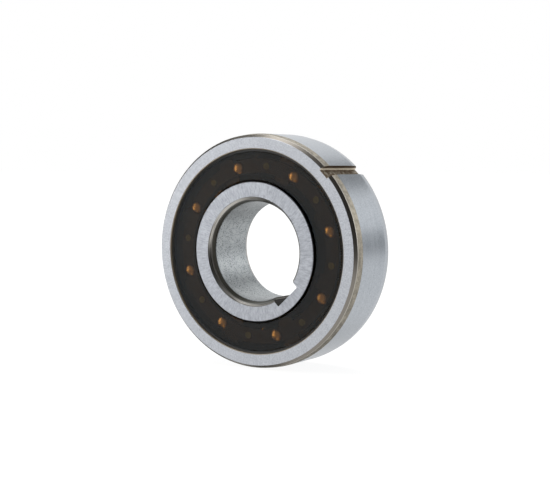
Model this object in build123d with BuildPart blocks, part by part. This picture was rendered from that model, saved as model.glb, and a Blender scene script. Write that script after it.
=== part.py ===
from build123d import *
from math import asin, cos, degrees, radians, sin, sqrt
import os

# Sprag clutch built into a 17 x 40 x 12 mm ball bearing, keyed on both rings and sealed on both sides.
# Millimetres. The axis runs along Y through the origin at mid width, and the front face looks to -Y.
# Angles are read from the front, anticlockwise from +X towards +Z.

# Rings: each section is measured radially, so the outer diameter is
# bore_dia + 2 * (inner_section + race_gap + outer_section) = 40
bore_dia = 17.0
inner_section = 3.6            # bore to inner sprag track
race_gap = 4.9                 # inner sprag track to outer sprag track
outer_section = 3.0            # outer sprag track to outside diameter
width = 12.0

# Inner ring
bore_chamfer = 0.44
bore_lead_radial = 0.42        # steeper lead-in from the chamfer down to the bore
bore_lead_axial = 0.95
land_step = 0.25               # seal land lies this far below the inner track
land_chamfer = 0.1
shoulder_gap = 0.2             # track shoulder to the back of the seal
inner_key_width = 5.0
inner_key_depth = 1.55
inner_key_angle = -46.7
inner_key_corner = 0.2

# Outer ring
bevel_radial = 0.47            # steep bevel at the face
bevel_axial = 0.6
lead_radial = 0.18             # shallow lead-in that follows it, left unground
lead_axial = 1.45
lip_chamfer = 0.12
lip_bore_step = 0.43           # retaining lip's bore above the outer track
lip_length = 0.4
seal_groove_step = 0.75        # seal groove's floor above the outer track
outer_key_width = 2.0
outer_key_depth = 1.0
outer_key_angle = 43.9
outer_key_corner = 0.15

# Seals
seal_recess = 0.3
seal_thickness = 0.6
seal_rim_play = 0.05           # rim in its groove, radially and axially
seal_rim_step = 0.05           # raised face's edge below the outer track
seal_inner_gap = 0.3           # seal's bore above the inner ring's land
seal_lip_gap = 0.14            # wiping lip above the same land
seal_lip_length = 0.25
seal_edge = 0.1

# Balls and sprags stand alternately on one pitch circle
stations = 8
first_ball_angle = 0.8
sprag_lead = 1.16              # each sprag stands this many degrees past the middle between two balls
groove_depth = 0.368           # ball groove below each sprag track
groove_conformity = 0.52       # groove radius as a share of the ball's diameter
contact_play = 0.04            # ball or sprag to its track, each side

# Sprag
cam_radius_inner = 2.8
cam_radius_outer = 2.8
cam_offset = 0.2               # each cam's centre beside the sprag's middle: the wedging action
sprag_width = 2.9
sprag_flank = 0.95             # half height of the waist
waist_lead = 0.18
waist_trail = 0.42
sprag_corner = 0.15           # chamfer at the ends of each cam

# Cage, moulded in two halves that meet at mid width and are riveted together
cage_below = 0.95              # cage's bore below the pitch circle
cage_above = 0.65              # cage's outside above it
rail = 0.4
rail_below = 1.15              # rail's bore below the pitch circle
rail_above = 1.25              # rail's outside above it
cage_side_play = 0.15          # rivet heads to the back of each seal
window_play = 0.17             # sprag in its window, each side
window_end_play = 0.1
pocket_play = 0.12
boss_dia = 1.2                 # round pads on the rails, midway between the rivets
boss_height = 0.1

# Rivets, one through the wider bar beside each ball pocket
rivet_height = 0.05            # rivet circle above the pitch circle
rivet_dia = 0.7
rivet_play = 0.02
rivet_head_dia = 2.2
rivet_head_height = 0.35

# Garter springs, one round each end of the sprags
garter_dia = 0.6
garter_height = 1.1            # centre line above the pitch circle
garter_side_play = 0.1
garter_floor_play = 0.25
sprag_lug = 0.35

# Sizes that follow from those above
half_width = width / 2
bore_radius = bore_dia / 2
inner_track = bore_radius + inner_section
outer_track = inner_track + race_gap
outer_radius = outer_track + outer_section
pitch_radius = (inner_track + outer_track) / 2
land_radius = inner_track - land_step
lip_bore = outer_track + lip_bore_step
seal_groove = outer_track + seal_groove_step
seal_front = half_width - seal_recess
seal_back = seal_front - seal_thickness
lip_back = half_width - lip_length
shoulder = seal_back - shoulder_gap
ball_radius = race_gap / 2 + groove_depth - contact_play
groove_radius = 2 * ball_radius * groove_conformity
cage_half = seal_back - cage_side_play - rivet_head_height
window_half = cage_half - rail
sprag_half = window_half - window_end_play
garter_axial = sprag_half - sprag_lug - garter_side_play - garter_dia / 2
pocket_radius = ball_radius + pocket_play
window_width = sprag_width + 2 * window_play
cage_bore = pitch_radius - cage_below
cage_outside = pitch_radius + cage_above
bar_radius = (cage_bore + cage_outside) / 2
rivet_circle = pitch_radius + rivet_height
station_step = 360 / stations
first_sprag_angle = first_ball_angle + station_step / 2 + sprag_lead
pocket_edge = first_ball_angle + degrees(asin(pocket_radius / bar_radius))
window_edge = first_sprag_angle - degrees(asin(window_width / 2 / bar_radius))
first_rivet_angle = (pocket_edge + window_edge) / 2


def face_plane(angle, radius=0.0):
    """Plane facing the front, its origin out at the angle, x clockwise and y radially outward."""
    c, s = cos(radians(angle)), sin(radians(angle))
    return Plane(origin=(radius * c, 0, radius * s), x_dir=(s, 0, -c), z_dir=(0, -1, 0))


def radial_plane(angle, radius=0.0):
    """Plane facing outward at the angle, x clockwise and y towards the rear."""
    c, s = cos(radians(angle)), sin(radians(angle))
    return Plane(origin=(radius * c, 0, radius * s), x_dir=(s, 0, -c), z_dir=(c, 0, s))


def make_outer_ring():
    corner = bevel_radial + lead_radial
    side = [  # radius and distance from mid width, from the track out to the face and the outside
        (outer_track, seal_back),
        (seal_groove, seal_back),
        (seal_groove, lip_back),
        (lip_bore, lip_back),
        (lip_bore, half_width - lip_chamfer),
        (lip_bore + lip_chamfer, half_width),
        (outer_radius - corner, half_width),
        (outer_radius - lead_radial, half_width - bevel_axial),
        (outer_radius, half_width - bevel_axial - lead_axial),
    ]
    with BuildPart() as ring:
        with BuildSketch(Plane.XY):
            with BuildLine():
                Polyline(side + [(r, -y) for r, y in reversed(side)], close=True)
            make_face()
            with Locations((outer_track + groove_depth - groove_radius, 0)):
                Circle(groove_radius, mode=Mode.SUBTRACT)
        revolve(axis=Axis.Y)
        with BuildSketch(face_plane(outer_key_angle)) as key:
            with Locations((0, outer_radius)):
                Rectangle(outer_key_width, 2 * outer_key_depth)
            fillet(key.vertices().group_by(Axis.Y)[0], outer_key_corner)
        extrude(amount=width, both=True, mode=Mode.SUBTRACT)
    ring.part.label = "outer_ring"
    return ring.part


def make_inner_ring():
    side = [  # radius and distance from mid width, from the bore round the face to the track
        (bore_radius, half_width - bore_chamfer - bore_lead_axial),
        (bore_radius + bore_lead_radial, half_width - bore_chamfer),
        (bore_radius + bore_lead_radial + bore_chamfer, half_width),
        (land_radius - land_chamfer, half_width),
        (land_radius, half_width - land_chamfer),
        (land_radius, shoulder + land_chamfer),
        (inner_track, shoulder - land_chamfer),
    ]
    with BuildPart() as ring:
        with BuildSketch(Plane.XY):
            with BuildLine():
                Polyline(side + [(r, -y) for r, y in reversed(side)], close=True)
            make_face()
            with Locations((inner_track - groove_depth + groove_radius, 0)):
                Circle(groove_radius, mode=Mode.SUBTRACT)
        revolve(axis=Axis.Y)
        key_floor = bore_radius + inner_key_depth
        with BuildSketch(face_plane(inner_key_angle)) as key:
            with Locations((0, key_floor / 2)):
                Rectangle(inner_key_width, key_floor)
            fillet(key.vertices().group_by(Axis.Y)[-1], inner_key_corner)
        extrude(amount=width, both=True, mode=Mode.SUBTRACT)
    ring.part.label = "inner_ring"
    return ring.part


def make_seal(name, side):
    """One seal: side is -1 at the front and 1 at the rear."""
    rim_front = lip_back - seal_rim_play
    edge = outer_track - seal_rim_step
    bore = land_radius + seal_inner_gap
    lip = land_radius + seal_lip_gap
    outline = [
        (lip, seal_back),
        (seal_groove - seal_rim_play, seal_back),
        (seal_groove - seal_rim_play, rim_front),
        (edge, rim_front),
        (edge, seal_front - seal_edge),
        (edge - seal_edge, seal_front),
        (bore + seal_edge, seal_front),
        (bore, seal_front - seal_edge),
        (bore, seal_back + seal_lip_length),
        (lip, seal_back + seal_lip_length / 2),
    ]
    with BuildPart() as seal:
        with BuildSketch(Plane.XY):
            with BuildLine():
                Polyline([(r, side * y) for r, y in outline], close=True)
            make_face()
        revolve(axis=Axis.Y)
    seal.part.label = name
    return seal.part


def make_cage_half(name, side):
    """Half of the cage, with half of each ball pocket and sprag window and holes for the rivets: side
    is -1 at the front and 1 at the rear."""
    with BuildPart() as half:
        with BuildSketch(Plane.XZ):
            Circle(cage_outside)
            Circle(cage_bore, mode=Mode.SUBTRACT)
        extrude(amount=-side * cage_half)
        with BuildSketch(Plane.XZ.offset(-side * window_half)):
            Circle(pitch_radius + rail_above)
            Circle(pitch_radius - rail_below, mode=Mode.SUBTRACT)
        extrude(amount=-side * rail)
        with BuildSketch(Plane.XZ.offset(-side * cage_half)):
            with PolarLocations(rivet_circle, stations, start_angle=first_rivet_angle + station_step / 2):
                Circle(boss_dia / 2)
        extrude(amount=-side * boss_height)
        for k in range(stations):
            with BuildSketch(radial_plane(first_ball_angle + k * station_step, cage_bore / 2)):
                Circle(pocket_radius)
            extrude(amount=cage_outside, mode=Mode.SUBTRACT)
            with BuildSketch(radial_plane(first_sprag_angle + k * station_step, cage_bore / 2)):
                Rectangle(window_width, 2 * window_half)
            extrude(amount=cage_outside, mode=Mode.SUBTRACT)
        with BuildSketch(Plane.XZ):
            with PolarLocations(rivet_circle, stations, start_angle=first_rivet_angle):
                Circle(rivet_dia / 2 + rivet_play)
        extrude(amount=-side * width, mode=Mode.SUBTRACT)
    half.part.label = name
    return half.part


def make_rivet(name, angle):
    """Rivet with a domed head against each end of the cage, as an outline revolved about its own axis."""
    c, s = cos(radians(angle)), sin(radians(angle))
    foot = (rivet_circle * c, 0, rivet_circle * s)
    head = rivet_head_dia / 2
    dome = (head**2 + rivet_head_height**2) / (2 * rivet_head_height)
    crown = cage_half + rivet_head_height
    turn = asin(head / dome) / 2
    middle = (dome * sin(turn), crown - dome + dome * cos(turn))
    with BuildPart() as rivet:
        with BuildSketch(Plane(origin=foot, x_dir=(c, 0, s), z_dir=(s, 0, -c))):
            with BuildLine():
                ThreePointArc((0, crown), middle, (head, cage_half))
                Polyline((head, cage_half), (rivet_dia / 2, cage_half), (rivet_dia / 2, -cage_half), (head, -cage_half))
                ThreePointArc((head, -cage_half), (middle[0], -middle[1]), (0, -crown))
                Line((0, -crown), (0, crown))
            make_face()
        revolve(axis=Axis(foot, (0, 1, 0)))
    rivet.part.label = name
    return rivet.part


def make_ball(name, angle):
    with BuildPart(face_plane(angle, pitch_radius)) as ball:
        Sphere(ball_radius)
    ball.part.label = name
    return ball.part


def cam_arc(radius, distance, offset, up):
    """Ends and crown of a cam arc across the sprag. Its centre lies distance from the clutch's axis and
    offset clockwise of the sprag's middle; up is 1 for the outer cam and -1 for the inner."""
    centre = sqrt(distance**2 - offset**2) - pitch_radius
    ends = sprag_width / 2
    return [(x, centre + up * sqrt(radius**2 - (x - offset) ** 2)) for x in (-ends, offset, ends)]


def make_sprag(name, angle):
    """One sprag. Its cams' centres lie either side of its middle, so that it grows taller as it is
    turned clockwise and wedges between the tracks."""
    plane = face_plane(angle, pitch_radius)
    half = sprag_width / 2
    top = cam_arc(cam_radius_outer, outer_track - contact_play - cam_radius_outer, -cam_offset, 1)
    low = cam_arc(cam_radius_inner, inner_track + contact_play + cam_radius_inner, cam_offset, -1)
    with BuildPart() as sprag:
        with BuildSketch(plane) as outline:
            with BuildLine():
                ThreePointArc(*top)
                Line(top[2], (half, sprag_flank))
                ThreePointArc((half, sprag_flank), (half - waist_lead, 0), (half, -sprag_flank))
                Line((half, -sprag_flank), low[2])
                ThreePointArc(*reversed(low))
                Line(low[0], (-half, -sprag_flank))
                ThreePointArc((-half, -sprag_flank), (waist_trail - half, 0), (-half, sprag_flank))
                Line((-half, sprag_flank), top[0])
            make_face()
            by_height = outline.vertices().sort_by(Axis.Y)
            chamfer(by_height[:2] + by_height[-2:], sprag_corner)
        extrude(amount=sprag_half, both=True)
        groove_floor = garter_height - garter_dia / 2 - garter_floor_play
        groove_width = garter_dia + 2 * garter_side_play
        for side in (-1, 1):
            with BuildSketch(plane.offset(side * garter_axial)):
                with Locations((0, groove_floor + race_gap / 2)):
                    Rectangle(2 * sprag_width, race_gap)
            extrude(amount=groove_width / 2, both=True, mode=Mode.SUBTRACT)
    sprag.part.label = name
    return sprag.part


def make_garter_spring(name, side):
    """The closed ring that a garter spring's coils fill, as a six-sided section."""
    with BuildPart() as spring:
        with BuildSketch(Plane.XY):
            with Locations((pitch_radius + garter_height, side * garter_axial)):
                RegularPolygon(garter_dia / 2, 6)
        revolve(axis=Axis.Y)
    spring.part.label = name
    return spring.part


pieces = [
    make_outer_ring(),
    make_inner_ring(),
    make_seal("front_seal", -1),
    make_seal("rear_seal", 1),
    make_cage_half("cage_front", -1),
    make_cage_half("cage_rear", 1),
    make_garter_spring("garter_spring_front", -1),
    make_garter_spring("garter_spring_rear", 1),
]
for k in range(stations):
    pieces.append(make_ball(f"ball_{k + 1}", first_ball_angle + k * station_step))
    pieces.append(make_sprag(f"sprag_{k + 1}", first_sprag_angle + k * station_step))
    pieces.append(make_rivet(f"rivet_{k + 1}", first_rivet_angle + k * station_step))

os.makedirs("parts", exist_ok=True)
for piece in pieces:
    export_step(piece, f"parts/{piece.label}.step")
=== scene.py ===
import math

import bpy
import numpy as np
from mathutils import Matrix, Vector


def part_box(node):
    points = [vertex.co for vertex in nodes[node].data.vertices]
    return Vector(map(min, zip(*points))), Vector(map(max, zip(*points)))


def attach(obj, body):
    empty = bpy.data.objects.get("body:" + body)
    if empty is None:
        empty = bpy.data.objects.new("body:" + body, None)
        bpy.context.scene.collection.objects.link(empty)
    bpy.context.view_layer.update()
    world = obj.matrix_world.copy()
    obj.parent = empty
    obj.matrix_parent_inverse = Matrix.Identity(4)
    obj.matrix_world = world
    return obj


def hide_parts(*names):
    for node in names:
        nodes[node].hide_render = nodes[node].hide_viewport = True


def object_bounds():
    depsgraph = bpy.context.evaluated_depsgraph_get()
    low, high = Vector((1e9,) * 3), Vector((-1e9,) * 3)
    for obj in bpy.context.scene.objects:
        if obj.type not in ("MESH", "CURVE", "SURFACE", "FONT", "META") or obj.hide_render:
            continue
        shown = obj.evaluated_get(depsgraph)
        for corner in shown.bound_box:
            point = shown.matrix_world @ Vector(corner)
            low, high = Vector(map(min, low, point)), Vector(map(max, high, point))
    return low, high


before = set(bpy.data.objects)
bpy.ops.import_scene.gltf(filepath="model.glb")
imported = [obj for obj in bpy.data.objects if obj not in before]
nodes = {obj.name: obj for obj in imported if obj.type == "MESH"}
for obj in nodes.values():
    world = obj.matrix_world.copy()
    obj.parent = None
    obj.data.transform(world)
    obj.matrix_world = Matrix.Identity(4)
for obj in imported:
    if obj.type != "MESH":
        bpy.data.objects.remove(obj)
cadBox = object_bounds()


def linear(hexColour):
    # sRGB hex to linear light, channel by channel
    channels = [int(hexColour[i : i + 2], 16) / 255 for i in (1, 3, 5)]
    return tuple(v / 12.92 if v <= 0.04045 else ((v + 0.055) / 1.055) ** 2.4 for v in channels) + (1.0,)


def tonesOf(finish):
    # the hex colours of one finish, turned to linear light
    return {name: linear(value) for name, value in finish.items() if isinstance(value, str)}


def addNode(tree, kind, settings={}, sockets={}):
    # one node: its settings by name, its sockets by name or number as values or links
    node = tree.nodes.new(kind)
    for name, value in settings.items():
        setattr(node, name, value)
    for key, value in sockets.items():
        if isinstance(value, bpy.types.NodeSocket):
            tree.links.new(value, node.inputs[key])
        else:
            node.inputs[key].default_value = value
    return node


def newMaterial(name):
    material = bpy.data.materials.new(name)
    material.use_nodes = True
    material.node_tree.nodes.clear()
    return material, material.node_tree


def zone(tree, *edges):
    # a share that is 1 where every edge is passed: an edge is a value with the two marks between which it
    # rises smoothly, the other way round if the first mark is the higher, or a share that is ready made.
    # Where the marks are a radius or a width and the same with a little added, that little is how soft
    # the border is, in mm
    share = None
    for edge in edges:
        if isinstance(edge, tuple):
            value, start, end = edge
            edge = addNode(
                tree, "ShaderNodeMapRange", {"interpolation_type": "SMOOTHSTEP"}, {0: value, 1: start, 2: end}
            ).outputs[0]
        if share is not None:
            edge = addNode(tree, "ShaderNodeMath", {"operation": "MULTIPLY"}, {0: share, 1: edge}).outputs[0]
        share = edge
    return share


def layered(tree, ground, *coats):
    # coats laid over a ground in turn: each is a share, or one edge of a zone, and the colour or plain
    # number that it covers the ground with
    for share, over in coats:
        isColour = isinstance(over, tuple) or getattr(over, "type", "VALUE") == "RGBA"
        kind, under, top, result = ("RGBA", 6, 7, 2) if isColour else ("FLOAT", 2, 3, 0)
        if isinstance(share, tuple):
            share = zone(tree, share)
        mix = addNode(tree, "ShaderNodeMix", {"data_type": kind}, {0: share, under: ground, top: over})
        ground = mix.outputs[result]
    return ground


def wander(tree, pattern, low, high):
    # a plain number that drifts between two with a pattern, which seldom leaves 0.3 to 0.7
    return layered(tree, low, ((pattern, 0.3, 0.7), high))


def ringPlace(tree):
    # where a point is about the clutch's axis, in mm: its radius, its distance from mid width, and its
    # direction as a unit vector across the axis, which has no seam as an angle would
    place = addNode(tree, "ShaderNodeTexCoord").outputs["Object"]
    mm = addNode(tree, "ShaderNodeVectorMath", {"operation": "SCALE"}, {0: place, "Scale": 1000.0}).outputs[0]
    across = addNode(tree, "ShaderNodeVectorMath", {"operation": "MULTIPLY"}, {0: mm, 1: (1, 0, 1)}).outputs[0]
    radius = addNode(tree, "ShaderNodeVectorMath", {"operation": "LENGTH"}, {0: across}).outputs["Value"]
    heading = addNode(tree, "ShaderNodeVectorMath", {"operation": "NORMALIZE"}, {0: across}).outputs[0]
    along = addNode(tree, "ShaderNodeSeparateXYZ", {}, {0: mm}).outputs["Y"]
    width = addNode(tree, "ShaderNodeMath", {"operation": "ABSOLUTE"}, {0: along}).outputs[0]
    return {"mm": mm, "radius": radius, "heading": heading, "along": along, "width": width}


def inSlot(tree, ring, angle, half, near, far):
    # 1 inside a keyway, half its width either side of its angle and between two heights along it, and
    # the height itself
    turned = math.radians(angle)
    height, side = (
        addNode(tree, "ShaderNodeVectorMath", {"operation": "DOT_PRODUCT"}, {0: ring["mm"], 1: way}).outputs["Value"]
        for way in ((math.cos(turned), 0, math.sin(turned)), (-math.sin(turned), 0, math.cos(turned)))
    )
    aside = addNode(tree, "ShaderNodeMath", {"operation": "ABSOLUTE"}, {0: side}).outputs[0]
    return zone(tree, (aside, half + 0.03, half + 0.01), (height, near - 0.02, near), (height, far + 0.02, far)), height


def streaks(tree, ring, atRadius, roundLength, value, valueLength, detail=3.0):
    # noise in long cells, mm: one length round the ring, measured at one radius, and another along a
    # second value, such as the radius or the width
    around = addNode(
        tree, "ShaderNodeVectorMath", {"operation": "SCALE"}, {0: ring["heading"], "Scale": atRadius / roundLength}
    ).outputs[0]
    out = addNode(tree, "ShaderNodeMath", {"operation": "DIVIDE"}, {0: value, 1: valueLength}).outputs[0]
    offset = addNode(tree, "ShaderNodeCombineXYZ", {}, {"Y": out}).outputs[0]
    spot = addNode(tree, "ShaderNodeVectorMath", {"operation": "ADD"}, {0: around, 1: offset}).outputs[0]
    return addNode(
        tree, "ShaderNodeTexNoise", {}, {"Vector": spot, "Scale": 1.0, "Detail": detail, "Roughness": 0.6}
    ).outputs[0]


# Camera: turned to the right of the front face and a little above the axis
view = {
    "azimuth": 32.2, "elevation": 4.08,         # degrees
    "distance": 0.20795, "aim": (0.00065, 0.0, -0.00002), "nearest": 0.005,    # metres
    "lens": 78.6, "sensor": 36.0,               # mm
}


def makeCamera():
    az, el = math.radians(view["azimuth"]), math.radians(view["elevation"])
    back = Vector((math.sin(az) * math.cos(el), -math.cos(az) * math.cos(el), math.sin(el)))
    data = bpy.data.cameras.new("camera")
    data.lens, data.sensor_width, data.clip_start = view["lens"], view["sensor"], view["nearest"]
    camera = bpy.data.objects.new("camera", data)
    camera.location = Vector(view["aim"]) + view["distance"] * back
    camera.rotation_euler = back.to_track_quat("Z", "Y").to_euler()
    bpy.context.scene.collection.objects.link(camera)
    bpy.context.scene.camera = camera


makeCamera()
print("camera placed")

# Studio, in metres: pale floor under the ring, white surround, soft lamps, and cards that metal mirrors
studio = {
    "floorSide": 8.0,
    "floorColour": "#EDEDED",
    "floorWhite": 0.74,        # share of the floor that shows plain white
    "floorGlow": 1.2,          # strength of that white
    "surroundLight": 0.55,     # what the white surround gives to dull surfaces
    "lamps": {
        "key": {"place": (-0.94, -0.50, 0.06), "wide": 0.30, "high": 0.84, "power": 12.4},
        "fill": {"place": (-0.25, 0.35, 1.1), "wide": 0.9, "high": 0.7, "power": 6.0},
    },
    "cards": {
        # centre, width, height, shade, strength
        "sideCard": ((0.95, -0.47, 0.33), 1.60, 1.25, "#0C0C0D", 1.0),       # darkens the bore's lead-in
        "topCard": ((0.40, -0.20, 0.95), 0.90, 0.90, "#101011", 1.0),        # the bevel, upper right
        "leftCard": ((-0.80, 0.53, 0.05), 0.70, 1.60, "#101214", 1.0),       # the left outline
        "crownCard": ((-0.55, 0.14, 0.83), 0.45, 0.30, "#1A1C1E", 1.0),      # the bevel at the top
        "underCard": ((-0.45, 0.22, -0.85), 0.60, 0.40, "#2A2A2A", 1.0),     # and at the bottom
        "heelCard": ((-0.08, 0.69, -0.72), 0.70, 0.34, "#171715", 1.0),      # the outside's lead-in, lower right
        "upperCard": ((-0.53, -0.66, 0.62), 0.90, 0.40, "#141516", 1.0),     # rivet heads, above the key lamp
        "lowerCard": ((-0.66, -0.56, -0.66), 0.60, 0.36, "#141516", 1.0),    # and below it
        "footCard": ((-0.14, -0.60, -0.78), 0.46, 0.32, "#FFFFFF", 14.0),    # a second spark on each rivet head
        "lowCard": ((0.534, 0.84, 0.03), 0.34, 0.20, "#565C61", 1.0),        # the grey bands across the outside
        "highCard": ((0.12, 0.84, 0.49), 0.36, 0.18, "#43494D", 1.0),
        "rimCard": ((0.76, 0.62, 0.36), 0.22, 0.75, "#FFFFFF", 5.0),         # the light band between them
    },
}


def seenDirect(tree):
    # 1 for rays from the eye and for rays that metal mirrors or plastic lets through
    rays = addNode(tree, "ShaderNodeLightPath").outputs
    seen = rays["Is Camera Ray"]
    for other in ("Is Glossy Ray", "Is Transmission Ray"):
        seen = addNode(tree, "ShaderNodeMath", {"operation": "MAXIMUM"}, {0: seen, 1: rays[other]}).outputs[0]
    return seen


def makeFloor():
    lowest, half = cadBox[0][2], studio["floorSide"] / 2
    corners = [(-half, -half, lowest), (half, -half, lowest), (half, half, lowest), (-half, half, lowest)]
    sheet = bpy.data.meshes.new("floor")
    sheet.from_pydata(corners, [], [(0, 1, 2, 3)])
    floor = bpy.data.objects.new("floor", sheet)
    bpy.context.scene.collection.objects.link(floor)
    # matt white paper sweep: soft shadow under the ring, plain white elsewhere
    paper, tree = newMaterial("paperSweep")
    dull = addNode(tree, "ShaderNodeBsdfDiffuse", {}, {"Color": linear(studio["floorColour"])}).outputs[0]
    glow = {"Color": (1, 1, 1, 1), "Strength": studio["floorGlow"]}
    plain = addNode(tree, "ShaderNodeEmission", {}, glow).outputs[0]
    share = addNode(
        tree, "ShaderNodeMath", {"operation": "MULTIPLY"}, {0: seenDirect(tree), 1: studio["floorWhite"]}
    ).outputs[0]
    surface = addNode(tree, "ShaderNodeMixShader", {}, {0: share, 1: dull, 2: plain}).outputs[0]
    addNode(tree, "ShaderNodeOutputMaterial", {}, {"Surface": surface})
    sheet.materials.append(paper)
    floor.visible_glossy = False  # metal mirrors the white surround in its place


def makeSurround():
    world = bpy.data.worlds.new("surround")
    bpy.context.scene.world = world
    world.use_nodes = True
    tree = world.node_tree
    tree.nodes.clear()
    strength = layered(tree, studio["surroundLight"], (seenDirect(tree), 1.0))
    sky = addNode(tree, "ShaderNodeBackground", {}, {"Color": (1, 1, 1, 1), "Strength": strength}).outputs[0]
    addNode(tree, "ShaderNodeOutputWorld", {}, {"Surface": sky})


def makeLamps():
    for name, lamp in studio["lamps"].items():
        data = bpy.data.lights.new(name, "AREA")
        data.shape, data.size, data.size_y, data.energy = "RECTANGLE", lamp["wide"], lamp["high"], lamp["power"]
        light = bpy.data.objects.new(name, data)
        light.location = lamp["place"]
        light.rotation_euler = Vector(lamp["place"]).to_track_quat("Z", "Y").to_euler()
        bpy.context.scene.collection.objects.link(light)


def makeCards():
    # each faces the ring and is seen only in what mirrors it
    for name, (place, wide, high, shade, strength) in studio["cards"].items():
        turn = Vector(place).to_track_quat("Z", "Y").to_matrix()
        corners = [Vector((x * wide / 2, y * high / 2, 0)) for x, y in ((-1, -1), (1, -1), (1, 1), (-1, 1))]
        card = bpy.data.meshes.new(name)
        card.from_pydata([turn @ corner + Vector(place) for corner in corners], [], [(0, 1, 2, 3)])
        board, tree = newMaterial(name + "Board")
        flat = addNode(tree, "ShaderNodeEmission", {}, {"Color": linear(shade), "Strength": strength}).outputs[0]
        addNode(tree, "ShaderNodeOutputMaterial", {}, {"Surface": flat})
        card.materials.append(board)
        piece = bpy.data.objects.new(name, card)
        piece.visible_camera = piece.visible_diffuse = piece.visible_shadow = False
        bpy.context.scene.collection.objects.link(piece)


makeFloor()
makeSurround()
makeLamps()
makeCards()
bpy.context.scene.view_settings.view_transform = "Standard"
print("studio placed")


def give(material, *names):
    for name in names:
        mesh = nodes[name].data
        mesh.materials.clear()
        mesh.materials.append(material)


# Outer ring: its tones, and in mm the radii and the distances from mid width where finishes meet
outerFinish = {
    "ground": "#BEC1C6", "groundDark": "#9FA2A8",
    "outside": "#B4B9BF", "outsideDark": "#999FA6",
    "turned": "#A8A295", "turnedDark": "#79746A",
    # the edge tone is a painted highlight line on the corner between the bevel and the lead-in
    "bevel": "#858079", "edge": "#B9B5AC",
    # the near-black tone of the ring's inside behind the seal: a grease film, darkened further with painted shade
    "lip": "#B3A793", "greaseAndShade": "#2E2A24",
    "slotFloor": "#5B4D3C", "slotStrip": "#F2E8D6",
    "outsideRadius": 19.75, "outsideWidth": 3.93,
    "bevelRadius": 19.3, "bevelWidth": 5.4, "highlightLineRadius": 19.6,
    "lipRadius": 17.52, "lipWidth": 5.6,
    "faceWidth": 5.97,
    "keyAngle": 43.9, "keyHalf": 1.0, "keyFloor": 19.0, "keyTop": 19.9,
    "stripStart": 19.3, "stripEnd": 19.5,       # height at which the keyway's bright strip gives way
    "grindSpacing": 0.35,      # real grinding lines lie 0.03 mm apart: drawn as coarse as they show
    "grindReach": 14.0, "grindRadius": 20.0,
    "faceSpacing": 0.30, "faceReach": 1.6, "faceRadius": 18.5,     # on the faces, as coarse for the same reason
    "grainShare": 0.80, "grainScale": 4.0, "patchScale": 1.1,      # cells to the mm
    # how high in a pattern the darker tone starts to give way, and where the paler one is reached
    "mottleMarks": (0.36, 0.64), "patchMarks": (0.38, 0.66), "keyMarks": (0.45, 0.7),
    "groundRoughness": (0.27, 0.33), "turnedRoughness": (0.42, 0.6),
    "bevelRoughness": 0.34, "rimRoughness": 0.34, "keyRoughness": 0.62,
    "stripMetal": 0.35, "rimMetal": 0.5,        # heat-tinted skin mirrors less than bare steel
    "bumpStrength": 0.06, "bumpDepth": 0.00004,                    # depth in metres
}


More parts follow.
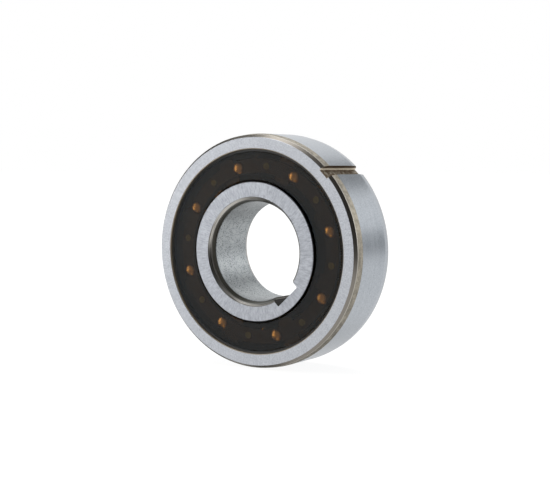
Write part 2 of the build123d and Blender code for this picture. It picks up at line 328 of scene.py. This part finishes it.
def makeOuterSteel():
    # through-hardened bearing steel: ground bright on the outside and faces, with the turned and
    # heat-tinted skin left on the lead-in, the lip and the keyway; the eye gets a clean silver band
    # beside a dull straw one
    f, tone = outerFinish, tonesOf(outerFinish)
    material, tree = newMaterial("groundBearingSteelOuter")
    ring = ringPlace(tree)
    radius, width = ring["radius"], ring["width"]

    # where each finish lies
    onOutside = zone(
        tree,
        (radius, f["outsideRadius"], f["outsideRadius"] + 0.04),
        (ring["along"], -f["outsideWidth"] - 0.05, -f["outsideWidth"]),
    )
    onFace = zone(tree, (width, f["faceWidth"] - 0.02, f["faceWidth"]))
    onGround = addNode(tree, "ShaderNodeMath", {"operation": "MAXIMUM"}, {0: onOutside, 1: onFace}).outputs[0]
    onBevel = zone(
        tree, (width, f["bevelWidth"] - 0.03, f["bevelWidth"]), (radius, f["bevelRadius"], f["bevelRadius"] + 0.05)
    )
    onHighlightLine = zone(
        tree,
        (width, f["bevelWidth"] - 0.16, f["bevelWidth"] - 0.08),
        (width, f["bevelWidth"] + 0.05, f["bevelWidth"]),
        (radius, f["highlightLineRadius"], f["highlightLineRadius"] + 0.1),
    )
    onLip = zone(tree, (radius, f["lipRadius"] + 0.06, f["lipRadius"]))
    # behind the seal: a grease film and painted shade
    inGreaseAndShade = zone(tree, onLip, (width, f["lipWidth"] + 0.02, f["lipWidth"] - 0.02))
    onRim = zone(tree, onLip, (width, f["lipWidth"], f["lipWidth"] + 0.04))
    slot, slotHeight = inSlot(tree, ring, f["keyAngle"], f["keyHalf"], f["keyFloor"] - 0.02, f["keyTop"])
    onWall = zone(tree, (slotHeight, f["keyFloor"] + 0.02, f["keyFloor"] + 0.06))
    onStrip = zone(tree, slot, onWall, (slotHeight, f["stripEnd"], f["stripStart"]))

    # patterns
    lines = streaks(tree, ring, f["grindRadius"], f["grindReach"], ring["along"], f["grindSpacing"], 4.0)
    faceLines = streaks(tree, ring, f["faceRadius"], f["faceSpacing"], radius, f["faceReach"])
    grain = addNode(
        tree, "ShaderNodeTexNoise", {},
        {"Vector": ring["mm"], "Scale": f["grainScale"], "Detail": 5.0, "Roughness": 0.75},
    ).outputs[0]
    mottle = layered(tree, lines, (onFace, faceLines), (f["grainShare"], grain))
    patches = addNode(
        tree, "ShaderNodeTexNoise", {},
        {"Vector": ring["mm"], "Scale": f["patchScale"], "Detail": 6.0, "Roughness": 0.75},
    ).outputs[0]

    skin = layered(
        tree, tone["turnedDark"],
        ((patches, *f["patchMarks"]), tone["turned"]),
        (onBevel, tone["bevel"]),
        (onLip, tone["lip"]),
        (inGreaseAndShade, tone["greaseAndShade"]),
    )
    silver = layered(tree, tone["groundDark"], ((mottle, *f["mottleMarks"]), tone["ground"]))
    barrel = layered(tree, tone["outsideDark"], ((mottle, *f["mottleMarks"]), tone["outside"]))
    floorTone = layered(tree, tone["slotFloor"], ((patches, *f["keyMarks"]), tone["turned"]))
    wallTone = layered(tree, tone["slotStrip"], ((slotHeight, f["stripStart"], f["stripEnd"]), tone["slotFloor"]))
    colour = layered(
        tree, skin,
        (onGround, layered(tree, silver, (onOutside, barrel))),
        (onHighlightLine, tone["edge"]),  # the corner between bevel and lead-in: a painted highlight line
        (slot, layered(tree, floorTone, (onWall, wallTone))),
    )
    rough = layered(
        tree, wander(tree, patches, *f["turnedRoughness"]),
        (onBevel, f["bevelRoughness"]),
        (onGround, wander(tree, mottle, *f["groundRoughness"])),
        (slot, f["keyRoughness"]),
        (onRim, f["rimRoughness"]),
    )
    metal = layered(tree, 1.0, (onStrip, f["stripMetal"]), (onRim, f["rimMetal"]))
    relief = layered(tree, patches, (onGround, mottle))
    bump = addNode(
        tree, "ShaderNodeBump", {}, {"Strength": f["bumpStrength"], "Distance": f["bumpDepth"], "Height": relief}
    ).outputs[0]
    steel = addNode(
        tree, "ShaderNodeBsdfPrincipled", {},
        {"Base Color": colour, "Metallic": metal, "Roughness": rough, "Normal": bump},
    ).outputs[0]
    addNode(tree, "ShaderNodeOutputMaterial", {}, {"Surface": steel})
    return material


give(makeOuterSteel(), "outer_ring")

# Inner ring: its tones, and in mm the radii and the distances from mid width where finishes meet
innerFinish = {
    "ground": "#ACAFB5", "groundDark": "#8F9298",
    "bore": "#A6AAAC", "boreDark": "#969B9D", "pit": "#242827",
    "chamfer": "#B3B0AA", "lead": "#77736B", "turnedLine": "#3E3A35",
    "slotWall": "#4A4642", "slotWallDark": "#262321",
    "slotFloor": "#A3A3A2", "slotFloorDark": "#6A6967",
    # the near-black tone of the ring's outside behind the seal: a grease film, darkened further with painted shade
    "greaseAndShade": "#2E2A24",
    "boreRadius": 8.53, "leadRadius": 8.80, "chamferRadius": 9.36,
    "faceWidth": 5.97,
    "greaseShadeRadius": 10.9, "greaseShadeWidth": 5.7,   # the land, shoulder and tracks behind the seal: a grease film, darkened further with painted shade
    "keyAngle": -46.7, "keyHalf": 2.5, "keyTop": 10.1,
    "floorStart": 9.88, "floorEnd": 10.02,      # height at which the keyway's wall turns into its floor
    "hairSpacing": 0.2,        # the faces' hairline, drawn as coarse as it shows
    "hairReach": 1.1, "hairRadius": 10.5,
    "turnSpacing": 0.13,       # the tool's rings on the chamfer, drawn about twice as coarse as real ones
    "turnReach": 9.0, "turnRadius": 8.9,
    "broachSpacing": 0.25, "broachReach": 4.0,  # the broach's lines, which run along the keyway
    "pitSpacing": 0.23,        # the pits left by the rough turning of the bore
    "grainShare": 0.4,
    "pitPatchScale": 1.3, "cloudScale": 0.9, "grainScale": 3.0,    # cells to the mm
    # how high in a pattern the tone beneath starts to give way, and where the one above is reached
    "mottleMarks": (0.35, 0.64), "cloudMarks": (0.35, 0.65), "turnMarks": (0.50, 0.66),
    "broachMarks": (0.36, 0.68), "pitMarks": (0.40, 0.22), "pitPatchMarks": (0.38, 0.52),
    "faceRoughness": (0.30, 0.42), "boreRoughness": 0.38, "slopeRoughness": 0.30,
    "pitWall": (0.10, 0.30),   # how far from its middle a pit rises to the bore, in cells
    "bumpStrength": 0.12, "bumpDepth": 0.00005,                    # depth in metres
}


def makeInnerSteel():
    # the same steel: faces ground with a fine radial hairline, a dull grey bore with dark pits, a brown
    # turned chamfer between them and a broached keyway
    f, tone = innerFinish, tonesOf(innerFinish)
    material, tree = newMaterial("groundBearingSteelInner")
    ring = ringPlace(tree)
    radius, width = ring["radius"], ring["width"]

    # where each finish lies
    inBore = zone(tree, (radius, f["boreRadius"] + 0.04, f["boreRadius"]))
    onSlope = zone(
        tree,
        (radius, f["boreRadius"], f["boreRadius"] + 0.04),
        (width, f["faceWidth"], f["faceWidth"] - 0.02),
        (radius, f["chamferRadius"] + 0.1, f["chamferRadius"] + 0.05),
    )
    slot, slotHeight = inSlot(tree, ring, f["keyAngle"], f["keyHalf"], f["boreRadius"] + 0.05, f["keyTop"])
    inKey = zone(tree, slot, (width, f["faceWidth"], f["faceWidth"] - 0.02))
    # behind the seal: a grease film and painted shade
    inGreaseAndShade = zone(
        tree,
        (radius, f["greaseShadeRadius"], f["greaseShadeRadius"] + 0.1),
        (width, f["greaseShadeWidth"] + 0.02, f["greaseShadeWidth"] - 0.02),
    )

    # patterns
    hairline = streaks(tree, ring, f["hairRadius"], f["hairSpacing"], radius, f["hairReach"])
    grain = addNode(
        tree, "ShaderNodeTexNoise", {},
        {"Vector": ring["mm"], "Scale": f["grainScale"], "Detail": 5.0, "Roughness": 0.7},
    ).outputs[0]
    mottle = layered(tree, hairline, (f["grainShare"], grain))
    cloud = addNode(
        tree, "ShaderNodeTexNoise", {},
        {"Vector": ring["mm"], "Scale": f["cloudScale"], "Detail": 6.0, "Roughness": 0.7},
    ).outputs[0]
    pits = addNode(
        tree, "ShaderNodeTexVoronoi", {}, {"Vector": ring["mm"], "Scale": 1.0 / f["pitSpacing"], "Randomness": 1.0}
    ).outputs["Distance"]
    pitPatches = addNode(
        tree, "ShaderNodeTexNoise", {},
        {"Vector": ring["mm"], "Scale": f["pitPatchScale"], "Detail": 4.0, "Roughness": 0.7},
    ).outputs[0]
    toolRings = streaks(tree, ring, f["turnRadius"], f["turnReach"], width, f["turnSpacing"])
    fine, long = 1.0 / f["broachSpacing"], 1.0 / f["broachReach"]
    drawn = addNode(tree, "ShaderNodeMapping", {}, {"Vector": ring["mm"], "Scale": (fine, long, fine)}).outputs[0]
    broachLines = addNode(
        tree, "ShaderNodeTexNoise", {}, {"Vector": drawn, "Scale": 1.0, "Detail": 4.0, "Roughness": 0.7}
    ).outputs[0]

    silver = layered(tree, tone["groundDark"], ((mottle, *f["mottleMarks"]), tone["ground"]))
    boreTone = layered(
        tree, tone["boreDark"],
        ((cloud, *f["cloudMarks"]), tone["bore"]),
        (zone(tree, (pits, *f["pitMarks"]), (pitPatches, *f["pitPatchMarks"])), tone["pit"]),
    )
    slopeTone = layered(
        tree, tone["lead"],
        ((radius, f["leadRadius"] - 0.02, f["leadRadius"] + 0.10), tone["chamfer"]),
        ((toolRings, *f["turnMarks"]), tone["turnedLine"]),
    )
    broached = zone(tree, (broachLines, *f["broachMarks"]))
    wallTone = layered(tree, tone["slotWallDark"], (broached, tone["slotWall"]))
    floorTone = layered(tree, tone["slotFloorDark"], (broached, tone["slotFloor"]))  # brighter than the walls
    slotTone = layered(tree, wallTone, ((slotHeight, f["floorStart"], f["floorEnd"]), floorTone))
    colour = layered(
        tree, silver, (inBore, boreTone), (onSlope, slopeTone), (inKey, slotTone), (inGreaseAndShade, tone["greaseAndShade"])
    )
    onFaces = wander(tree, mottle, *f["faceRoughness"])
    rough = layered(tree, onFaces, (inBore, f["boreRoughness"]), (onSlope, f["slopeRoughness"]))
    relief = layered(tree, mottle, (inBore, zone(tree, (pits, *f["pitWall"]))))
    bump = addNode(
        tree, "ShaderNodeBump", {}, {"Strength": f["bumpStrength"], "Distance": f["bumpDepth"], "Height": relief}
    ).outputs[0]
    steel = addNode(
        tree, "ShaderNodeBsdfPrincipled", {},
        {"Base Color": colour, "Metallic": 1.0, "Roughness": rough, "Normal": bump},
    ).outputs[0]
    addNode(tree, "ShaderNodeOutputMaterial", {}, {"Surface": steel})
    return material


give(makeInnerSteel(), "inner_ring")
print("rings finished")

# Seals: smoked amber plastic that lets a little warm light through; radii in mm
sealFinish = {
    # the near-black rim tone is painted shade on the seal's rims, beside the gaps at the rings
    "body": "#182229", "bodyWarm": "#181F24", "rim": "#060606", "edge": "#3B3731",
    "through": "#F4DFBE", "passes": 0.61,       # tint of what is seen through one surface, and its share
    # the edge tone, outward from where it starts, is a painted highlight line near the seal's outer edge
    "bodyStart": 12.14, "rimStart": 16.97, "highlightLineStart": 17.2,
    "flowSpacing": 2.4, "flowReach": 1.2, "flowRadius": 14.6, "flowMarks": (0.35, 0.65),
    "rib": 0.25,               # turned rings of the mould
    "fineScale": 2.2, "fineShare": 0.6,         # cells to the mm, and share of the relief
    "faceRoughness": (0.24, 0.34), "rimRoughness": 0.6,
    "ior": 1.45,
    "bumpStrength": 0.05, "bumpDepth": 0.00002,                    # depth in metres
}


def makeSealPlastic():
    # moulded polyester, smoked amber: near black where it is thick, a soft gloss, and warm where
    # something bright lies close behind
    f, tone = sealFinish, tonesOf(sealFinish)
    material, tree = newMaterial("smokedAmberPlastic")
    ring = ringPlace(tree)
    radius = ring["radius"]
    # painted shade: the rims beside the gaps are near black and let nothing through
    outerRim = zone(tree, (radius, f["rimStart"], f["rimStart"] + 0.04))
    innerRim = zone(tree, (radius, f["bodyStart"], f["bodyStart"] - 0.04))
    onRim = addNode(tree, "ShaderNodeMath", {"operation": "MAXIMUM"}, {0: outerRim, 1: innerRim}).outputs[0]
    flow = streaks(tree, ring, f["flowRadius"], f["flowSpacing"], radius, f["flowReach"], 4.0)
    fine = addNode(
        tree, "ShaderNodeTexNoise", {}, {"Vector": ring["mm"], "Scale": f["fineScale"], "Detail": 4.0}
    ).outputs[0]
    body = layered(
        tree, tone["body"],
        ((flow, *f["flowMarks"]), tone["bodyWarm"]),
        (onRim, tone["rim"]),
        # a painted highlight line near the seal's outer edge
        ((radius, f["highlightLineStart"], f["highlightLineStart"] + 0.04), tone["edge"]),
    )
    rough = layered(tree, wander(tree, fine, *f["faceRoughness"]), (onRim, f["rimRoughness"]))
    turns = addNode(
        tree, "ShaderNodeMath", {"operation": "MULTIPLY"}, {0: radius, 1: 2 * math.pi / f["rib"]}
    ).outputs[0]
    ribs = addNode(tree, "ShaderNodeMath", {"operation": "SINE"}, {0: turns}).outputs[0]
    relief = layered(tree, ribs, (f["fineShare"], fine))
    bump = addNode(
        tree, "ShaderNodeBump", {}, {"Strength": f["bumpStrength"], "Distance": f["bumpDepth"], "Height": relief}
    ).outputs[0]
    skin = addNode(
        tree, "ShaderNodeBsdfPrincipled", {},
        {"Base Color": body, "Roughness": rough, "IOR": f["ior"], "Normal": bump},
    ).outputs[0]
    clear = addNode(tree, "ShaderNodeBsdfTransparent", {}, {"Color": tone["through"]}).outputs[0]
    share = layered(tree, f["passes"], (onRim, 0.0))
    plastic = addNode(tree, "ShaderNodeMixShader", {}, {0: share, 1: skin, 2: clear}).outputs[0]
    addNode(tree, "ShaderNodeOutputMaterial", {}, {"Surface": plastic})
    return material


give(makeSealPlastic(), "front_seal", "rear_seal")

# Balls
ballFinish = {"steel": "#A9AAAB", "hazeScale": 1.5, "roughness": (0.06, 0.14)}    # cells to the mm


def makeBallSteel():
    # lapped chrome steel ball: near mirror, with faint haze
    f, tone = ballFinish, tonesOf(ballFinish)
    material, tree = newMaterial("lappedBallSteel")
    ring = ringPlace(tree)
    haze = addNode(
        tree, "ShaderNodeTexNoise", {}, {"Vector": ring["mm"], "Scale": f["hazeScale"], "Detail": 4.0}
    ).outputs[0]
    rough = wander(tree, haze, *f["roughness"])
    steel = addNode(
        tree, "ShaderNodeBsdfPrincipled", {}, {"Base Color": tone["steel"], "Metallic": 1.0, "Roughness": rough}
    ).outputs[0]
    addNode(tree, "ShaderNodeOutputMaterial", {}, {"Surface": steel})
    return material


give(makeBallSteel(), *[name for name in nodes if name.startswith("ball_")])

# Sprags
spragFinish = {
    "steel": "#5A5855", "steelDark": "#45433F",
    "lineScale": 3.6,          # drawing lines to the mm across the sprag
    "lineStretch": 0.12,       # and how much fewer of them along it
    "lineMarks": (0.35, 0.65), "roughness": (0.28, 0.42),
}


def makeSpragSteel():
    # drawn and tumbled wedge steel: satin, a little darker than the balls, finely lined along its length
    f, tone = spragFinish, tonesOf(spragFinish)
    material, tree = newMaterial("tumbledSpragSteel")
    place = addNode(tree, "ShaderNodeTexCoord").outputs["Object"]
    stretch = (1.0, f["lineStretch"], 1.0)
    drawn = addNode(tree, "ShaderNodeMapping", {}, {"Vector": place, "Scale": stretch}).outputs[0]
    lines = addNode(
        tree, "ShaderNodeTexNoise", {}, {"Vector": drawn, "Scale": 1000.0 * f["lineScale"], "Detail": 4.0}
    ).outputs[0]
    colour = layered(tree, tone["steelDark"], ((lines, *f["lineMarks"]), tone["steel"]))
    rough = wander(tree, lines, *f["roughness"])
    steel = addNode(
        tree, "ShaderNodeBsdfPrincipled", {}, {"Base Color": colour, "Metallic": 1.0, "Roughness": rough}
    ).outputs[0]
    addNode(tree, "ShaderNodeOutputMaterial", {}, {"Surface": steel})
    return material


give(makeSpragSteel(), *[name for name in nodes if name.startswith("sprag_")])

# Cage
cageFinish = {
    "body": "#16130F", "fibre": "#2A241C",
    "speckleScale": 7.0, "speckleMarks": (0.45, 0.7),              # cells to the mm
    "pad": "#7F966F", "padWidth": 4.63,         # the pads stand proud of the rails at 4.6 mm and are coloured pale olive
    "roughness": (0.45, 0.65),
    "bumpStrength": 0.2, "bumpDepth": 0.00003,                     # depth in metres
}


def makeCagePlastic():
    # glass-filled polyamide, moulded: matt brown-black with a fine speckle of fibre ends
    f, tone = cageFinish, tonesOf(cageFinish)
    material, tree = newMaterial("glassFilledPolyamide")
    ring = ringPlace(tree)
    speckle = addNode(
        tree, "ShaderNodeTexNoise", {}, {"Vector": ring["mm"], "Scale": f["speckleScale"], "Detail": 3.0}
    ).outputs[0]
    colour = layered(
        tree, tone["body"],
        ((speckle, *f["speckleMarks"]), tone["fibre"]),
        ((ring["width"], f["padWidth"], f["padWidth"] + 0.03), tone["pad"]),
    )
    rough = wander(tree, speckle, *f["roughness"])
    bump = addNode(
        tree, "ShaderNodeBump", {}, {"Strength": f["bumpStrength"], "Distance": f["bumpDepth"], "Height": speckle}
    ).outputs[0]
    plastic = addNode(
        tree, "ShaderNodeBsdfPrincipled", {}, {"Base Color": colour, "Roughness": rough, "Normal": bump}
    ).outputs[0]
    addNode(tree, "ShaderNodeOutputMaterial", {}, {"Surface": plastic})
    return material


give(makeCagePlastic(), "cage_front", "cage_rear")

# Rivets, mm and degrees: the circle on which their heads stand
rivetFinish = {
    # the dark tone is painted shade round the edge of each head
    "plating": "#F4F3F0", "shadedEdge": "#4A3F33",
    "count": 8, "circle": 14.6, "first": 15.2,
    "unshadedRadius": 0.45, "shadedEdgeRadius": 1.08,  # from a head's centre
    "dentScale": 1.4, "roughness": (0.35, 0.41),                   # cells to the mm
}


def makeRivetSteel():
    # cold-headed rivet, bright nickel plated: a soft mirror that shows as a warm spark behind the seal
    f, tone = rivetFinish, tonesOf(rivetFinish)
    material, tree = newMaterial("nickelPlatedRivetSteel")
    ring = ringPlace(tree)
    # how far a point lies from the nearest head's centre: along the circle by its angle, counted in
    # rivets from the first, and out from the circle by its radius
    flat = addNode(tree, "ShaderNodeSeparateXYZ", {}, {0: ring["mm"]}).outputs
    angle = addNode(tree, "ShaderNodeMath", {"operation": "ARCTAN2"}, {0: flat["Z"], 1: flat["X"]}).outputs[0]
    perRadian = f["count"] / (2 * math.pi)
    start = -math.radians(f["first"]) * perRadian
    rivets = addNode(
        tree, "ShaderNodeMath", {"operation": "MULTIPLY_ADD"}, {0: angle, 1: perRadian, 2: start}
    ).outputs[0]
    apart = addNode(tree, "ShaderNodeMath", {"operation": "PINGPONG"}, {0: rivets, 1: 0.5}).outputs[0]
    arc = addNode(
        tree, "ShaderNodeMath", {"operation": "MULTIPLY"}, {0: apart, 1: f["circle"] / perRadian}
    ).outputs[0]
    out = addNode(tree, "ShaderNodeMath", {"operation": "SUBTRACT"}, {0: ring["radius"], 1: f["circle"]}).outputs[0]
    offset = addNode(tree, "ShaderNodeCombineXYZ", {}, {"X": arc, "Y": out}).outputs[0]
    fromCentre = addNode(tree, "ShaderNodeVectorMath", {"operation": "LENGTH"}, {0: offset}).outputs["Value"]
    # painted shade: each head darkens from near its centre to its edge, so that its spark fades softly
    colour = layered(tree, tone["plating"], ((fromCentre, f["unshadedRadius"], f["shadedEdgeRadius"]), tone["shadedEdge"]))
    dents = addNode(
        tree, "ShaderNodeTexNoise", {}, {"Vector": ring["mm"], "Scale": f["dentScale"], "Detail": 3.0}
    ).outputs[0]
    rough = wander(tree, dents, *f["roughness"])
    steel = addNode(
        tree, "ShaderNodeBsdfPrincipled", {}, {"Base Color": colour, "Metallic": 1.0, "Roughness": rough}
    ).outputs[0]
    addNode(tree, "ShaderNodeOutputMaterial", {}, {"Surface": steel})
    return material


give(makeRivetSteel(), *[name for name in nodes if name.startswith("rivet_")])
print("seals, balls, sprags, cage and rivets finished")

# Garter springs: a close-wound wire, its thickness in mm, bent round into a ring
garter = {
    "wire": 0.14, "turns": 230, "pointsPerTurn": 10, "sides": 5,
    "bright": "#B7B4AC", "oiled": "#8D8473",
    "oilScale": 1.2, "oilMarks": (0.4, 0.65), "roughness": (0.25, 0.4),        # cells to the mm
}


def makeSpringSteel():
    # patented spring wire, oiled: grey-brown with a soft shine
    f, tone = garter, tonesOf(garter)
    material, tree = newMaterial("oiledSpringWire")
    ring = ringPlace(tree)
    oil = addNode(
        tree, "ShaderNodeTexNoise", {}, {"Vector": ring["mm"], "Scale": f["oilScale"], "Detail": 3.0}
    ).outputs[0]
    colour = layered(tree, tone["bright"], ((oil, *f["oilMarks"]), tone["oiled"]))
    rough = wander(tree, oil, *f["roughness"])
    steel = addNode(
        tree, "ShaderNodeBsdfPrincipled", {}, {"Base Color": colour, "Metallic": 1.0, "Roughness": rough}
    ).outputs[0]
    addNode(tree, "ShaderNodeOutputMaterial", {}, {"Surface": steel})
    return material


springSteel = makeSpringSteel()


def makeGarter(name, node, turnWay):
    # a tube along a helix that runs round a ring: the helix's centre goes once round the ring while the
    # wire goes round that centre once a turn, and each section of the tube is a small polygon across
    # the wire's direction
    low, high = (np.array(corner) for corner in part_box(node))
    middle = (low[1] + high[1]) / 2
    coil = (high[1] - low[1]) / 2
    ringRadius = (high[2] - low[2]) / 2 - coil
    wire = garter["wire"] / 2000
    coil = coil - wire
    sides, count = garter["sides"], garter["turns"] * garter["pointsPerTurn"]
    around = np.linspace(0, 2 * np.pi, count, endpoint=False)
    spin = turnWay * garter["turns"] * around
    outward = np.stack([np.cos(around), 0 * around, np.sin(around)], axis=1)
    axis = np.array([0.0, 1.0, 0.0])
    centre = outward * (ringRadius + coil * np.cos(spin))[:, None] + axis * (middle + coil * np.sin(spin))[:, None]
    along = np.roll(centre, -1, axis=0) - np.roll(centre, 1, axis=0)
    along /= np.linalg.norm(along, axis=1)[:, None]
    off = outward * np.cos(spin)[:, None] + axis * np.sin(spin)[:, None]
    off -= along * (off * along).sum(axis=1)[:, None]
    off /= np.linalg.norm(off, axis=1)[:, None]
    aside = np.cross(along, off)
    lap = np.arange(sides) * 2 * np.pi / sides
    across = off[:, None, :] * np.cos(lap)[None, :, None] + aside[:, None, :] * np.sin(lap)[None, :, None]
    points = centre[:, None, :] + wire * across
    row = np.arange(count)[:, None] * sides
    nextRow = (np.arange(count)[:, None] + 1) % count * sides
    side = np.arange(sides)[None, :]
    nextSide = (side + 1) % sides
    faces = np.stack([row + side, row + nextSide, nextRow + nextSide, nextRow + side], axis=-1).reshape(-1, 4)
    mesh = bpy.data.meshes.new(name)
    mesh.from_pydata(points.reshape(-1, 3).tolist(), [], faces.tolist())
    mesh.polygons.foreach_set("use_smooth", np.ones(len(mesh.polygons), dtype=bool))
    mesh.materials.append(springSteel)
    spring = bpy.data.objects.new(name, mesh)
    bpy.context.scene.collection.objects.link(spring)
    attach(spring, "cage")
    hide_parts(node)


makeGarter("garterCoilFront", "garter_spring_front", 1)
makeGarter("garterCoilRear", "garter_spring_rear", -1)
print("garter springs wound")
